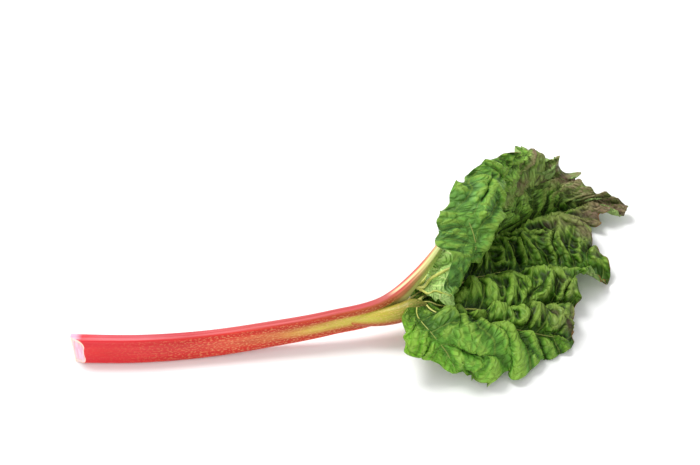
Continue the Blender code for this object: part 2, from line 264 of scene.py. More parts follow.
# round the thickest rib, from its back over its upper side to its channel
RIB_STRIPES = (
    (0.0, (0.70, 0.17, 0.12)), (0.17, (0.66, 0.09, 0.08)), (0.205, (0.74, 0.18, 0.12)),
    (0.235, (0.90, 0.64, 0.34)), (0.275, (0.88, 0.64, 0.34)), (0.30, (0.50, 0.04, 0.03)),
    (0.33, (0.62, 0.09, 0.06)), (0.36, (0.72, 0.22, 0.12)), (0.43, (0.74, 0.30, 0.14)),
    (0.48, (0.76, 0.68, 0.22)), (0.60, (0.70, 0.74, 0.25)), (1.0, (0.75, 0.22, 0.16)),
)

# ---------------------------------------------------------------- colours of the leaf
# parts of the blade: each fades in from the first flat angle to the second
LEAF_PARTS = {
    "near": ((-90, -130),),
    "wall": ((-62, -80),),
    "flap": ((55, 85),),
    "front": ((-50, -75),),
    "inner": ((-88, -64), (8, -6)),
    "upper_half": ((0, 14), (66, 48)),
    "lobe": ((-56, -48), (-12, -18)),
    "tinted": ((-70, -45), (58, 40)),
    "tip": ((-16, -6), (40, 26)),
}
# from the deepest fold to the highest crest, with painted shade in the folds and painted light on the
# crests
SHADED_LEAF_GREENS = ((0.0, (0.010, 0.046, 0.002)), (0.42, (0.046, 0.140, 0.006)),
               (0.62, (0.088, 0.235, 0.012)), (1.0, (0.190, 0.390, 0.045)))
# and how strongly a part of the blade turns to its green, partly its tone and partly painted light:
# light shining through the near lobe, sheen on the flap, the lit front wall
PART_GREENS = (("wall", 0.5, (0.120, 0.310, 0.045)), ("near", 0.65, (0.115, 0.300, 0.002)),
               ("flap", 0.6, (0.155, 0.362, 0.078)))
BLOTCH_GREEN = (0.135, 0.300, 0.010)
# painted light that lifts the far half out of the flap's shade
UPPER_HALF_PAINTED_LIGHT = (0.480, 0.720, 0.200)
# painted highlight on the crests
CREST_HIGHLIGHT = (0.290, 0.470, 0.060)
PURPLE_TINT = (0.300, 0.165, 0.135)
VEIN_GREEN = (0.260, 0.400, 0.055)
UNDER_GREEN = (0.340, 0.520, 0.150)
UNDER_VEIN = (0.640, 0.720, 0.300)
RED_RIM = (0.300, 0.120, 0.030)
PALE_RIM = (0.380, 0.540, 0.160)
LIGHT_THROUGH = (0.24, 0.52, 0.02)
RIB_COLOURS = ((0.0, (0.74, 0.74, 0.22)), (0.15, (0.60, 0.62, 0.14)), (0.4, (0.40, 0.45, 0.08)),
               (1.0, (0.20, 0.28, 0.05)))
# from the rim of the cut face to its core
CUT_COLOURS = ((0.0, (0.84, 0.56, 0.40)), (0.2, (0.88, 0.70, 0.54)), (0.42, (0.78, 0.40, 0.38)),
               (0.7, (0.74, 0.38, 0.46)), (1.0, (0.72, 0.38, 0.50)))

# ---------------------------------------------------------------- the studio
FLOOR_SIZE = 4.0
FILL = 0.72
# what each light is called, where it stands in metres, how wide it is and how bright
SOFTBOXES = (
    ("main_softbox", (-0.50, 0.43, 1.25), 0.75, 18.0),
    ("front_softbox", (-0.5, -1.3, 0.7), 1.2, 8.0),
)
CAMERA_LENS = 85.0
CAMERA_TILT = 40.0
CAMERA_FAR = 1.55
CAMERA_AIM = (-45.9, 130.7)


def curve_step(u, span, start, end, start_slope, end_slope):
    """A smooth step from start to end, at u from 0 to 1, with the slopes given at its ends."""
    return ((2 * u**3 - 3 * u**2 + 1) * start + (u**3 - 2 * u**2 + u) * span * start_slope
            + (3 * u**2 - 2 * u**3) * end + (u**3 - u**2) * span * end_slope)


def smooth_curve(knots, values, at):
    """Points of a smooth curve through values at knots, read at each of at."""
    knots = np.asarray(knots, float)
    values = np.asarray(values, float)
    at = np.clip(at, knots[0], knots[-1])
    slopes = np.gradient(values, knots, axis=0)
    i = np.clip(np.searchsorted(knots, at, side="right") - 1, 0, len(knots) - 2)
    gap = knots[i + 1] - knots[i]
    u = ((at - knots[i]) / gap)[..., None]
    return curve_step(u, gap[..., None], values[i], values[i + 1], slopes[i], slopes[i + 1])


def ease(x):
    """0 below 0, 1 above 1, smooth between."""
    x = np.clip(x, 0.0, 1.0)
    return x * x * (3 - 2 * x)


SPOKE_ANGLES = np.array([s[0] for s in SPOKES], float)
SPOKE_LENGTHS = np.array([s[1] for s in SPOKES], float)


def walk(length, headings, climbs):
    """The corner points of a spoke, from the leaf base outwards."""
    step = length / STEPS
    points = [np.zeros(3)]
    for heading, climb in zip(headings, climbs):
        h = math.radians(heading)
        c = math.radians(climb)
        move = np.array((math.cos(c) * math.cos(h), math.cos(c) * math.sin(h), math.sin(c)))
        points.append(points[-1] + step * move)
    return np.array(points)


SPOKE_POINTS = np.array([walk(s[1], s[2], s[3]) for s in SPOKES])


def reach(angle):
    """Length of the flat blade in the direction of each flat angle."""
    return smooth_curve(SPOKE_ANGLES, SPOKE_LENGTHS[:, None], angle)[..., 0]


def folded(angle, share):
    """Point on the folded blade, a share of the way out along each flat angle."""
    knots = np.linspace(0.0, 1.0, STEPS + 1)
    rings = np.stack([smooth_curve(knots, p, share) for p in SPOKE_POINTS])
    i = np.clip(np.searchsorted(SPOKE_ANGLES, angle, side="right") - 1, 0, len(SPOKES) - 2)
    slopes = np.gradient(rings, SPOKE_ANGLES, axis=0)
    pick = np.arange(len(angle))
    gap = (SPOKE_ANGLES[i + 1] - SPOKE_ANGLES[i])[:, None]
    u = (angle - SPOKE_ANGLES[i])[:, None] / gap
    return curve_step(u, gap, rings[i, pick], rings[i + 1, pick], slopes[i, pick],
                      slopes[i + 1, pick])


def between(angle, veins):
    """Which two ribs each flat angle lies between, and how far across, 0 to 1."""
    i = np.clip(np.searchsorted(veins, angle, side="right") - 1, 0, len(veins) - 2)
    return i, np.clip((angle - veins[i]) / (veins[i + 1] - veins[i]), 0.0, 1.0)


def hump(angle, radius, share):
    """Height of the bulge between two ribs."""
    veins = np.array(VEINS, float)
    i, across = between(angle, veins)
    grown = ease((radius - HUMP_START) / (HUMP_FULL - HUMP_START))
    space = np.linalg.norm(folded(veins[i + 1], share) - folded(veins[i], share), axis=1)
    height = np.minimum(np.array(HUMPS, float)[i], HUMP_STEEPNESS * space)
    return height * np.sin(np.pi * across) ** 2 * grown


def outline(far_edge):
    """Distance from the grid's middle to the blade's edge, for directions all the way round."""
    sweep = np.linspace(SPOKE_ANGLES[0], SPOKE_ANGLES[-1], RIM_POINTS)
    edge = np.radians(sweep)
    rim = far_edge(sweep)[:, None] * np.stack((np.cos(edge), np.sin(edge)), axis=1)
    sweep = np.linspace(NOTCH_SIDE, -NOTCH_SIDE, NOTCH_POINTS)
    start = NOTCH_NEAR + (NOTCH_FAR - NOTCH_NEAR) * ease(sweep / FAR_RIB_SPOKE)
    edge = np.radians(sweep)
    notch = start[:, None] * np.stack((np.cos(edge), np.sin(edge)), axis=1)
    loop = np.concatenate((rim, notch)) - (BLADE_CENTRE, 0.0)
    direction = np.degrees(np.arctan2(loop[:, 1], loop[:, 0]))
    order = np.argsort(direction)
    return direction[order], np.hypot(loop[:, 0], loop[:, 1])[order]


def blade_layout(cells, far_edge):
    """Flat angle and radius of every point of a square grid mapped onto the blade."""
    side = np.linspace(-1.0, 1.0, cells + 1)
    a, b = np.meshgrid(side, side, indexing="ij")
    u = a * np.sqrt(1 - b * b / 2)
    v = b * np.sqrt(1 - a * a / 2)
    direction = np.degrees(np.arctan2(v, u)).ravel()
    directions, distances = outline(far_edge)
    far = np.interp(direction, directions, distances, period=360.0)
    out = np.hypot(u, v).ravel() * far
    x = BLADE_CENTRE + out * np.cos(np.radians(direction))
    y = out * np.sin(np.radians(direction))
    return np.degrees(np.arctan2(y, x)), np.hypot(x, y)


def evened(values, cells, rounds):
    """Values on the grid, each drawn towards the mean of its neighbours; ends of rows stay."""
    grid = values.reshape(cells + 1, cells + 1, -1).copy()
    for _ in range(rounds):
        for lines in (grid, grid.transpose(1, 0, 2)):
            lines[1:-1] = (lines[:-2] + 2 * lines[1:-1] + lines[2:]) / 4
    return grid.reshape(values.shape)


def grid_normals(points, cells, rounds):
    """Unit normals of the grid, towards the blade's upper side, evened out."""
    grid = points.reshape(cells + 1, cells + 1, 3)
    across = np.cross(np.gradient(grid, axis=0), np.gradient(grid, axis=1))
    across = evened(across.reshape(-1, 3), cells, rounds)
    return across / np.maximum(np.linalg.norm(across, axis=1), 1e-9)[:, None]


def coarse_blade():
    """The folded blade as the frame has it, from the leaf base, and where that base is."""
    angle, radius = blade_layout(COARSE_GRID, reach)
    share = np.clip(radius / reach(angle), 0.0, 1.0)
    points = evened(folded(angle, share), COARSE_GRID, EVEN_ROUNDS)
    normals = grid_normals(points, COARSE_GRID, EVEN_ROUNDS)
    points = evened(points + normals * hump(angle, radius, share)[:, None], COARSE_GRID, 1)
    normals = grid_normals(points, COARSE_GRID, EVEN_ROUNDS)
    off = np.abs(angle[:, None] - np.array(CAD_RIDGES, float)).min(axis=1)
    beside = radius * np.sin(np.radians(np.minimum(off, 90.0)))
    thick = ease(1 - beside / CAD_RIB_SPREAD) * (1 - ease(radius / CAD_RIB_FADE))
    thick = CAD_THICKNESS + (CAD_RIB_THICKNESS - CAD_THICKNESS) * thick
    low = np.minimum(points, points - normals * thick[:, None]).min(axis=0)
    return points, np.array(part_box("leaf_blade")[0]) / MM - low


COARSE_POINTS, LEAF_BASE = coarse_blade()


def refined(points, cells, finer):
    """A grid of points read more finely along both of its sides."""
    knots = np.linspace(0.0, 1.0, cells + 1)
    at = np.linspace(0.0, 1.0, finer + 1)
    grid = points.reshape(cells + 1, -1)
    grid = smooth_curve(knots, grid, at).reshape(finer + 1, cells + 1, 3)
    grid = grid.transpose(1, 0, 2).reshape(cells + 1, -1)
    grid = smooth_curve(knots, grid, at).reshape(finer + 1, finer + 1, 3)
    return grid.transpose(1, 0, 2).reshape(-1, 3)


def read_grid(values, cells, x, y, far_edge):
    """Values on a blade grid, read at flat places."""
    direction = np.arctan2(y, x - BLADE_CENTRE)
    directions, distances = outline(far_edge)
    far = np.interp(np.degrees(direction), directions, distances, period=360.0)
    out = np.minimum(np.hypot(x - BLADE_CENTRE, y) / far, 1.0)
    u = out * np.cos(direction)
    v = out * np.sin(direction)
    wide = 2 * math.sqrt(2)
    a = (np.sqrt(np.maximum(2 + u * u - v * v + wide * u, 0))
         - np.sqrt(np.maximum(2 + u * u - v * v - wide * u, 0))) / 2
    b = (np.sqrt(np.maximum(2 - u * u + v * v + wide * v, 0))
         - np.sqrt(np.maximum(2 - u * u + v * v - wide * v, 0))) / 2
    i = np.clip((a + 1) / 2 * cells, 0, cells - 1e-6)
    j = np.clip((b + 1) / 2 * cells, 0, cells - 1e-6)
    i0 = i.astype(int)
    j0 = j.astype(int)
    fi = (i - i0)[:, None]
    fj = (j - j0)[:, None]
    grid = values.reshape(cells + 1, cells + 1, -1)
    low = grid[i0, j0] * (1 - fi) + grid[i0 + 1, j0] * fi
    high = grid[i0, j0 + 1] * (1 - fi) + grid[i0 + 1, j0 + 1] * fi
    return low * (1 - fj) + high * fj


# ---------------------------------------------------------------- crinkles
def margin_line(far_edge):
    """Flat angles all along the margin, and the flat points there."""
    sweep = np.linspace(SPOKE_ANGLES[0], SPOKE_ANGLES[-1], MARGIN_POINTS)
    edge = np.radians(sweep)
    return sweep, far_edge(sweep)[:, None] * np.stack((np.cos(edge), np.sin(edge)), axis=1)


def rim_run(angle):
    """How far along the margin each flat angle is."""
    sweep, rim = margin_line(reach)
    run = np.append(0.0, np.cumsum(np.linalg.norm(np.diff(rim, axis=0), axis=1)))
    return np.interp(angle, sweep, run)


def part(angle, start, over):
    """0 before a flat angle, 1 past it by over, smooth between."""
    return ease((angle - start) / over)


def lobed_reach(angle):
    """Length of the blade in each direction, with the bays between lobes and the small teeth."""
    i, across = between(angle, np.array(VEINS, float))
    full = reach(angle)
    run = rim_run(angle)
    bay = np.array(BAYS, float)[i] * np.sin(np.pi * across) ** 2
    waver = sum(np.sin(run / length + start) for length, start in WAVERS)
    lobe = 1 - np.abs(np.sin(np.pi * run / LOBE_LENGTH + LOBE_WAVER * waver)) ** LOBE_ROUND
    tooth = 1 - np.abs(np.sin(np.pi * run / TOOTH_LENGTH + TOOTH_WAVER * waver))
    lively = ease((full - LIVELY_FROM) / LIVELY_OVER)
    lobe *= 1 - FAR_CALM * part(angle, *FAR_HALF[0]) * part(angle, *FAR_HALF[1])
    lobe *= 1 + FLAP_LOBES * part(angle, *FLAP) + NEAR_LOBES * part(angle, *NEAR_HALF)
    return full * (1 - bay) + lively * (LOBE_OUT - LOBE_DEPTH * lobe - TOOTH_DEPTH * tooth)


def wander(x, y, size, seed):
    """Smooth noise, about -1 to 1, over the flat blade, with patches of about the given size."""
    chance = np.random.default_rng(seed)
    total = np.zeros_like(x)
    for _ in range(WANDER_WAVES):
        turn, shift = chance.uniform(0.0, 2 * math.pi, 2)
        length = 2 * size * chance.uniform(0.8, 1.7)
        total += np.sin(2 * math.pi * (x * math.cos(turn) + y * math.sin(turn)) / length + shift)
    return total / math.sqrt(2 * WANDER_WAVES)


def swell(x, y, change):
    """A slow change over the flat blade, from its size, strength and draw."""
    size, strength, seed = change
    return strength * wander(x, y, size, seed)


def flat_directions(points, angle, radius, cells):
    """Unit directions on the folded blade, round the leaf base."""
    turn = np.radians(angle)
    x = (radius * np.cos(turn)).reshape(cells + 1, cells + 1)
    y = (radius * np.sin(turn)).reshape(cells + 1, cells + 1)
    grid = points.reshape(cells + 1, cells + 1, 3)
    xi, xj = np.gradient(x)
    yi, yj = np.gradient(y)
    size = (xi * yj - xj * yi)[..., None]
    size = np.where(np.abs(size) < 1e-3, 1e-3, size)
    di = np.gradient(grid, axis=0)
    dj = np.gradient(grid, axis=1)
    by_x = ((di * yj[..., None] - dj * yi[..., None]) / size).reshape(-1, 3)
    by_y = ((dj * xi[..., None] - di * xj[..., None]) / size).reshape(-1, 3)
    c = np.cos(turn)[:, None]
    s = np.sin(turn)[:, None]
    around = by_y * c - by_x * s
    return around / np.maximum(np.linalg.norm(around, axis=1), 1e-6)[:, None]


def margin(x, y):
    """Distance to the blade's margin in the flat, and how far along the margin that is."""
    sweep, rim = margin_line(lobed_reach)
    run = rim_run(sweep)
    tree = kdtree.KDTree(MARGIN_POINTS)
    for k, (px, py) in enumerate(rim):
        tree.insert((px, py, 0.0), k)
    tree.balance()
    found = [tree.find((px, py, 0.0)) for px, py in zip(x, y)]
    return np.array([f[2] for f in found]), run[[f[1] for f in found]]


def pucker(x, y):
    """Distance from the fine creases: small cells with a crease between each two."""
    chance = np.random.default_rng(PUCKER_SEED)
    low = np.array((x.min(), y.min())) - PUCKER_SPACING
    high = np.array((x.max(), y.max())) + PUCKER_SPACING
    counts = np.ceil((high - low) / PUCKER_SPACING).astype(int)
    tree = kdtree.KDTree(int(counts[0] * counts[1]))
    for i in range(counts[0]):
        for j in range(counts[1]):
            shift = chance.uniform(-PUCKER_SCATTER, PUCKER_SCATTER, 2) + (0.5 * (j % 2), 0.0)
            px, py = low + (np.array((i, j)) + shift) * PUCKER_SPACING
            tree.insert((px, py, 0.0), i * int(counts[1]) + j)
    tree.balance()
    nearest = [tree.find_n((px, py, 0.0), 2) for px, py in zip(x, y)]
    return np.array([n[1][2] - n[0][2] for n in nearest]) / 2


def pleats(angle, radius, x, y):
    """Side veins passed along the nearest rib, and the distance to that rib."""
    veins = np.array(PLEAT_VEINS, float)
    i, across = between(angle, veins)
    nearest = np.where(across < 0.5, veins[i], veins[i + 1])
    off = np.radians(np.abs(angle - nearest))
    along = radius * np.cos(off)
    beside = radius * np.sin(off)
    spacing = np.array(PLEAT_SPACINGS, float)[i]
    count = (along - beside * math.tan(math.radians(PLEAT_LEAN))) / spacing
    count += 0.5 * across + PLEAT_SHIFT * i
    for change in PLEAT_WANDERS:
        count += swell(x, y, change)
    height = np.array(PLEAT_HEIGHTS, float)
    blend = ease(np.abs(across - 0.5) * 2 - 0.5) * 0.5
    other = np.clip(np.where(across < 0.5, i - 1, i + 1), 0, len(height) - 1)
    return count, beside, across, height[i] * (1 - blend) + height[other] * blend, i


def side_folds(count, sector, inward):
    """The pillow between two side veins, from 0 to 1: round in some parts, crested in others."""
    sharpness = np.array(PLEAT_SHARPNESS, float)[sector] * inward
    rounded = np.abs(np.sin(np.pi * count)) ** PILLOW_ROUND
    crested = 1 - np.abs(np.cos(np.pi * count)) ** CREST_WIDTH
    return rounded + (crested - rounded) * sharpness


def margin_waves(x, y, edge, run):
    """How the margin ruffles, flutters and curls down."""
    wave = np.sin(2 * np.pi * run / RUFFLE_LENGTH + swell(x, y, RUFFLE_WANDER))
    flutter = np.sin(2 * np.pi * run / FLUTTER_LENGTH + swell(x, y, FLUTTER_WANDER))
    lift = RUFFLE_HEIGHT * wave * np.exp(-edge / RUFFLE_REACH)
    lift += FLUTTER_HEIGHT * flutter * np.exp(-edge / FLUTTER_REACH)
    return lift - CURL_DROP * np.exp(-edge / CURL_REACH) * (1 + swell(x, y, CURL_WANDER))


def relief(points, rounds, upper):
    """How far each point stands out of the blade evened by a number of rounds."""
    return ((points - evened(points, FINE_GRID, rounds)) * upper).sum(axis=1)


def crinkled_blade():
    """The crinkled blade: points from the leaf base, and what the materials want to know."""
    angle, radius = blade_layout(FINE_GRID, lobed_reach)
    x = radius * np.cos(np.radians(angle))
    y = radius * np.sin(np.radians(angle))
    smooth = refined(COARSE_POINTS, COARSE_GRID, FINE_GRID)
    points = read_grid(smooth, FINE_GRID, x, y, reach)
    points = evened(points, FINE_GRID, 2)
    normals = grid_normals(points, FINE_GRID, 8)
    around = flat_directions(points, angle, radius, FINE_GRID)
    count, beside, across, heights, sector = pleats(angle, radius, x, y)
    edge, run = margin(x, y)
    crease = pucker(x, y)
    grown = ease((radius - CRINKLE_START) / (CRINKLE_FULL - CRINKLE_START))
    middle = np.sin(np.pi * across) ** 2
    inward = ease(edge / PLEAT_FADE)
    beyond_rib = ease(beside / RIB_VALLEY)
    pillow = side_folds(count, sector, inward)
    lift = heights * (1 + swell(x, y, PLEAT_SWELL)) * pillow * beyond_rib * grown
    lift *= PLEAT_AT_MARGIN + (1 - PLEAT_AT_MARGIN) * inward
    lift += EXTRA_HUMP * middle * grown * ease(heights / 3 - 1)
    calm = CALM_AT_RIB + (1 - CALM_AT_RIB) * beyond_rib
    calm *= 1 - NEAR_CALM * part(angle, *NEAR_CALM_PART)
    dome = np.minimum(crease / PUCKER_RADIUS, 1.0) ** PUCKER_ROUND
    lift += PUCKER_HEIGHT * dome * ease(radius / CRINKLE_START) * calm
    strength = grown * calm * (CRUMPLE_AT_MARGIN + (1 - CRUMPLE_AT_MARGIN) * inward)
    for size, height, seed in CRUMPLES:
        lift += height * (1 - 2 * np.abs(wander(x, y, size, seed))) * strength
    lift += ease(radius / RUFFLE_START) * margin_waves(x, y, edge, run)
    sidestep = PLEAT_SIDESTEP * np.sin(np.pi * count) * middle * grown * heights / 5
    points = points + normals * lift[:, None] + around * sidestep[:, None]
    floor = FLOOR_GAP - LEAF_BASE[2]
    points[:, 2] = floor + FLOOR_SOFT * np.logaddexp(0.0, (points[:, 2] - floor) / FLOOR_SOFT)
    upper = grid_normals(points, FINE_GRID, 6)
    marks = {
        "relief": relief(points, RELIEF_ROUNDS, upper),
        "ridge": relief(points, RIDGE_ROUNDS, upper),
        "count": count,
        "crease": crease,
        "edge": edge,
        "crest": pillow * beyond_rib * CREST_OF_PLEAT + middle * CREST_OF_HUMP,
        "share": np.clip(radius / reach(angle), 0.0, 1.0),
        "way": angle,
    }
    return points, x, y, marks


# ---------------------------------------------------------------- meshes
def finish(mesh_data, name, *materials):
    """Make the mesh an object with its materials and smooth shading."""
    mesh = bpy.data.meshes.new(name)
    mesh_data.to_mesh(mesh)
    mesh_data.free()
    mesh.shade_smooth()
    mesh.set_sharp_from_angle(angle=math.radians(SHARP_ANGLE))
    for finish_material in materials:
        mesh.materials.append(finish_material)
    piece = bpy.data.objects.new(name, mesh)
    bpy.context.collection.objects.link(piece)
    return piece


def put_in_order(mesh_data):
    """Number corners by place and faces by their corners, whatever order they were made in."""
    corners = sorted(mesh_data.verts, key=lambda v: tuple(v.co))
    rank = {vertex: k for k, vertex in enumerate(corners)}
    faces = sorted(mesh_data.faces, key=lambda f: sorted(rank[v] for v in f.verts))
    face_rank = {face: k for k, face in enumerate(faces)}
    edges = sorted(mesh_data.edges, key=lambda e: sorted(rank[v] for v in e.verts))
    edge_rank = {edge: k for k, edge in enumerate(edges)}
    mesh_data.verts.sort(key=lambda v: rank[v])
    mesh_data.edges.sort(key=lambda e: edge_rank[e])
    mesh_data.faces.sort(key=lambda f: face_rank[f])


def next_ring(mesh_data, edges, ring):
    """Draw a ring on by one section; return its new edges, and its corners in their old order."""
    drawn = bmesh.ops.extrude_edge_only(mesh_data, edges=edges)["geom"]
    fresh = {g for g in drawn if isinstance(g, bmesh.types.BMVert)}
    edges = [g for g in drawn if isinstance(g, bmesh.types.BMEdge)
             and g.verts[0] in fresh and g.verts[1] in fresh]
    ring = [next(e.other_vert(v) for e in v.link_edges if e.other_vert(v) in fresh) for v in ring]
    return edges, ring


def add_sheet(mesh_data, points, cells):
    """Add a square sheet of quads through the given points, and return its corners in order."""
    made = bmesh.ops.create_grid(mesh_data, x_segments=cells, y_segments=cells, size=1.0)
    order = sorted(made["verts"], key=lambda v: (round(v.co.x, 5), round(v.co.y, 5)))
    for vertex, point in zip(order, points):
        vertex.co = (point + LEAF_BASE) * MM
    return order


def leaf_blade(points, x, y, marks, blade_material):
    """The blade: two crinkled skins joined round the margin, with marks for its material."""
    normals = grid_normals(points, FINE_GRID, 2)
    full = ease(marks["edge"] / MARGIN_FULL)
    thickness = BLADE_THICKNESS * (MARGIN_THIN + (1 - MARGIN_THIN) * full)
    under = points - normals * thickness[:, None]
    under[:, 2] = np.maximum(under[:, 2], FLOOR_GAP / 4 - LEAF_BASE[2])
    mesh_data = bmesh.new()
    flat = mesh_data.verts.layers.float_vector.new("flat")
    side = mesh_data.verts.layers.float.new("side")
    layers = {name: mesh_data.verts.layers.float.new(name) for name in marks}
    upper_corners = add_sheet(mesh_data, points, FINE_GRID)
    under_corners = add_sheet(mesh_data, under, FINE_GRID)
    for corners, which in ((upper_corners, 0.0), (under_corners, 1.0)):
        for k, vertex in enumerate(corners):
            vertex[flat] = (x[k] * MM, y[k] * MM, 0.0)
            vertex[side] = which
            for name, layer in layers.items():
                vertex[layer] = marks[name][k]
    rims = [edge for edge in mesh_data.edges if edge.is_boundary]
    bmesh.ops.bridge_loops(mesh_data, edges=rims)
    bmesh.ops.recalc_face_normals(mesh_data, faces=mesh_data.faces)
    return finish(mesh_data, "leaf_blade_skin", blade_material)


# ---------------------------------------------------------------- the stalk
def far_rib_line():
    """Points, with widths, that the far rib passes through, beside the blade's underside."""
    shares = np.linspace(FAR_RIB_START, FAR_RIB_END, FAR_RIB_POINTS)
    aside = (FAR_RIB_SPOKE - FAR_RIB_ASIDE, FAR_RIB_SPOKE, FAR_RIB_SPOKE + FAR_RIB_ASIDE)
    around = np.tile(aside, FAR_RIB_POINTS)
    line = folded(around, shares.repeat(3)).reshape(FAR_RIB_POINTS, 3, 3)
    upper = np.cross(np.gradient(line[:, 1], axis=0), line[:, 2] - line[:, 0])
    upper /= np.linalg.norm(upper, axis=1)[:, None]
    out = np.linspace(0.0, 1.0, FAR_RIB_POINTS)
    widths = FAR_RIB_TIP + (FAR_RIB_WIDTH - FAR_RIB_TIP) * (1 - out) ** FAR_RIB_TAPER
    clear = (CAD_THICKNESS + FAR_RIB_GAP) * (1 - out) ** 2
    off = widths / 2 * (1 - out / 2) + clear + FAR_RIB_LET_IN * out
    return line[:, 1] - upper * off[:, None], widths


def stalk_stations():
    """Middles, sizes and shares of the sections: along the stalk, then along the far rib."""
    rib, rib_widths = far_rib_line()
    half = np.linspace(STALK_WIDTH, STALK_LEAF_WIDTH, len(STALK_PATH)) / 2
    under = np.array(STALK_PATH, float)
    under[:, 2] += half
    middles = np.concatenate((under, rib))
    stalk_widths = np.linspace(STALK_WIDTH, STALK_LEAF_WIDTH, len(under))
    widths = np.concatenate((stalk_widths, rib_widths))
    depths = np.concatenate((stalk_widths * STALK_FLATNESS, rib_widths * FAR_RIB_ROUND))
    knots = np.append(0.0, np.cumsum(np.linalg.norm(np.diff(middles, axis=0), axis=1)))
    joint = knots[len(under) - 1]
    at = np.append(np.linspace(0.0, joint, STALK_STATIONS),
                   np.linspace(joint, knots[-1], FAR_RIB_STATIONS + 1)[1:])
    sizes = np.stack((widths, depths), axis=1)
    return smooth_curve(knots, middles, at), smooth_curve(knots, sizes, at), at / joint, at


def section(width, depth, run):
    """A D-shaped section, as (back, up) points: upright channel face, rounded back."""
    points = []
    for k in range(SECTION_POINTS):
        turn = 2 * math.pi * (k + 0.5) / SECTION_POINTS
        back = math.cos(turn)
        up = math.sin(turn)
        power = BACK_ROUNDNESS if back > 0 else FACE_ROUNDNESS
        scale = (abs(back) ** power + abs(up) ** power) ** (-1 / power)
        hollow = CHANNEL_DEPTH * math.cos(math.pi / 2 * up * scale) ** 2 if back < 0 else 0.0
        hollow *= width / STALK_WIDTH
        stripe = STRIPE_DEPTH * math.cos(STRIPES * turn + STRIPE_SWING * math.sin(run / STRIPE_WANDER))
        size = 1 + stripe / width
        points.append(((back * scale * depth / 2 + hollow) * size, up * scale * width / 2 * size))
    return points


def skin_rings(mesh_data):
    """A ring of skin drawn out along the stalk and its far rib, closed at the far end."""
    middles, sizes, shares, runs = stalk_stations()
    along = np.gradient(middles, axis=0)
    along /= np.linalg.norm(along, axis=1)[:, None]
    share_mark = mesh_data.verts.layers.float.new("share")
    turn_mark = mesh_data.verts.layers.float.new("turn")
    flat = mesh_data.verts.layers.float_vector.new("flat")
    bmesh.ops.create_circle(mesh_data, segments=SECTION_POINTS, radius=1.0, cap_ends=False)
    ring = sorted(mesh_data.verts, key=lambda v: math.atan2(v.co.y, v.co.x) % (2 * math.pi))
    edges = list(mesh_data.edges)
    floor = STALK_PATH[0][2]
    for k, middle in enumerate(middles):
        if k:
            edges, ring = next_ring(mesh_data, edges, ring)
        up = np.array((0.0, 0.0, 1.0)) - along[k] * along[k, 2]
        up /= np.linalg.norm(up)
        back = np.cross(up, along[k])
        for j, (vertex, (b, u)) in enumerate(zip(ring, section(*sizes[k], runs[k]))):
            point = middle + back * b + up * u
            point[2] = max(point[2], floor)
            vertex.co = (point + LEAF_BASE) * MM
            vertex[share_mark] = shares[k]
            vertex[turn_mark] = j / SECTION_POINTS
            vertex[flat] = (runs[k] * MM, j / SECTION_POINTS * STALK_ROUND * MM, 0.0)
    bmesh.ops.holes_fill(mesh_data, edges=[e for e in mesh_data.edges if e.is_boundary])


def cut_off(mesh_data, place, facing):
    """Cut the end off at a plane, and close it with one face."""
    everything = mesh_data.verts[:] + mesh_data.edges[:] + mesh_data.faces[:]
    where = (np.array(place, float) + LEAF_BASE) * MM
    bmesh.ops.bisect_plane(mesh_data, geom=everything, dist=CUT_MARGIN, clear_outer=True,
                           plane_co=where, plane_no=facing)
    put_in_order(mesh_data)
    rim = [vertex for vertex in mesh_data.verts if vertex.is_boundary]
    bmesh.ops.remove_doubles(mesh_data, verts=rim, dist=CUT_WELD)
    rim = [edge for edge in mesh_data.edges if edge.is_boundary]
    bmesh.ops.contextual_create(mesh_data, geom=rim)


def ring_cut_face(mesh_data, facing, core):
    """Set rings into the cut face that faces a given way, each deeper in the flesh."""
    outward = Vector(facing).normalized()
    sliced = max(mesh_data.faces, key=lambda f: (f.normal.dot(outward) > 0.999) * f.calc_area())
    sliced.material_index = 1
    middle = sliced.calc_center_median()
    for depth, size in CUT_RINGS:
        ringed = bmesh.ops.inset_region(mesh_data, faces=[sliced], thickness=0.0)["faces"]
        for face in ringed:
            face.material_index = 1
        for vertex in sliced.verts:
            vertex[core] = depth
            vertex.co = middle + (vertex.co - middle) * size


def stalk(skin_finish, cut_finish):
    """The stalk and its far rib, cut at the end of the stalk."""
    mesh_data = bmesh.new()
    skin_rings(mesh_data)
    core = mesh_data.verts.layers.float.new("core")
    for place, facing in END_CUTS:
        cut_off(mesh_data, place, facing)
    bmesh.ops.recalc_face_normals(mesh_data, faces=mesh_data.faces)
    for _, facing in END_CUTS:
        ring_cut_face(mesh_data, facing, core)
    put_in_order(mesh_data)
    return finish(mesh_data, "stalk_flesh", skin_finish, cut_finish)


def throat(skin_finish):
    """The end of the stalk under the near lobe, which the near ribs leave."""
    stops = np.array(THROAT, float)
    knots = stops[:, 0]
    run = smooth_curve(knots, stops, np.linspace(knots[0], knots[-1], THROAT_STATIONS))
    mesh_data = bmesh.new()
    share_mark = mesh_data.verts.layers.float.new("share")
    turn_mark = mesh_data.verts.layers.float.new("turn")
    flat = mesh_data.verts.layers.float_vector.new("flat")
    add_tube(mesh_data, run[:, :3], run[:, 3], share_mark, THROAT_SIDES)
    start = STALK_PATH[0][0]
    for vertex in mesh_data.verts:
        x, y, z = np.array(vertex.co) / MM - LEAF_BASE
        middle = smooth_curve(knots, stops, np.array((x,)))[0]
        turn = math.atan2(z - middle[2], y - middle[1]) / (2 * math.pi) % 1.0
        height = (z - middle[2] - THROAT_RISE) / (STALK_LEAF_WIDTH / 2)
        vertex[share_mark] = np.interp(x, THROAT_FADES[0], THROAT_FADES[1])
        vertex[turn_mark] = 0.5 - math.atan(height) / (2 * math.pi)
        vertex[flat] = ((x - start) * MM, turn * STALK_ROUND * MM, 0.0)
    bmesh.ops.recalc_face_normals(mesh_data, faces=mesh_data.faces)
    put_in_order(mesh_data)
    return finish(mesh_data, "stalk_throat", skin_finish)


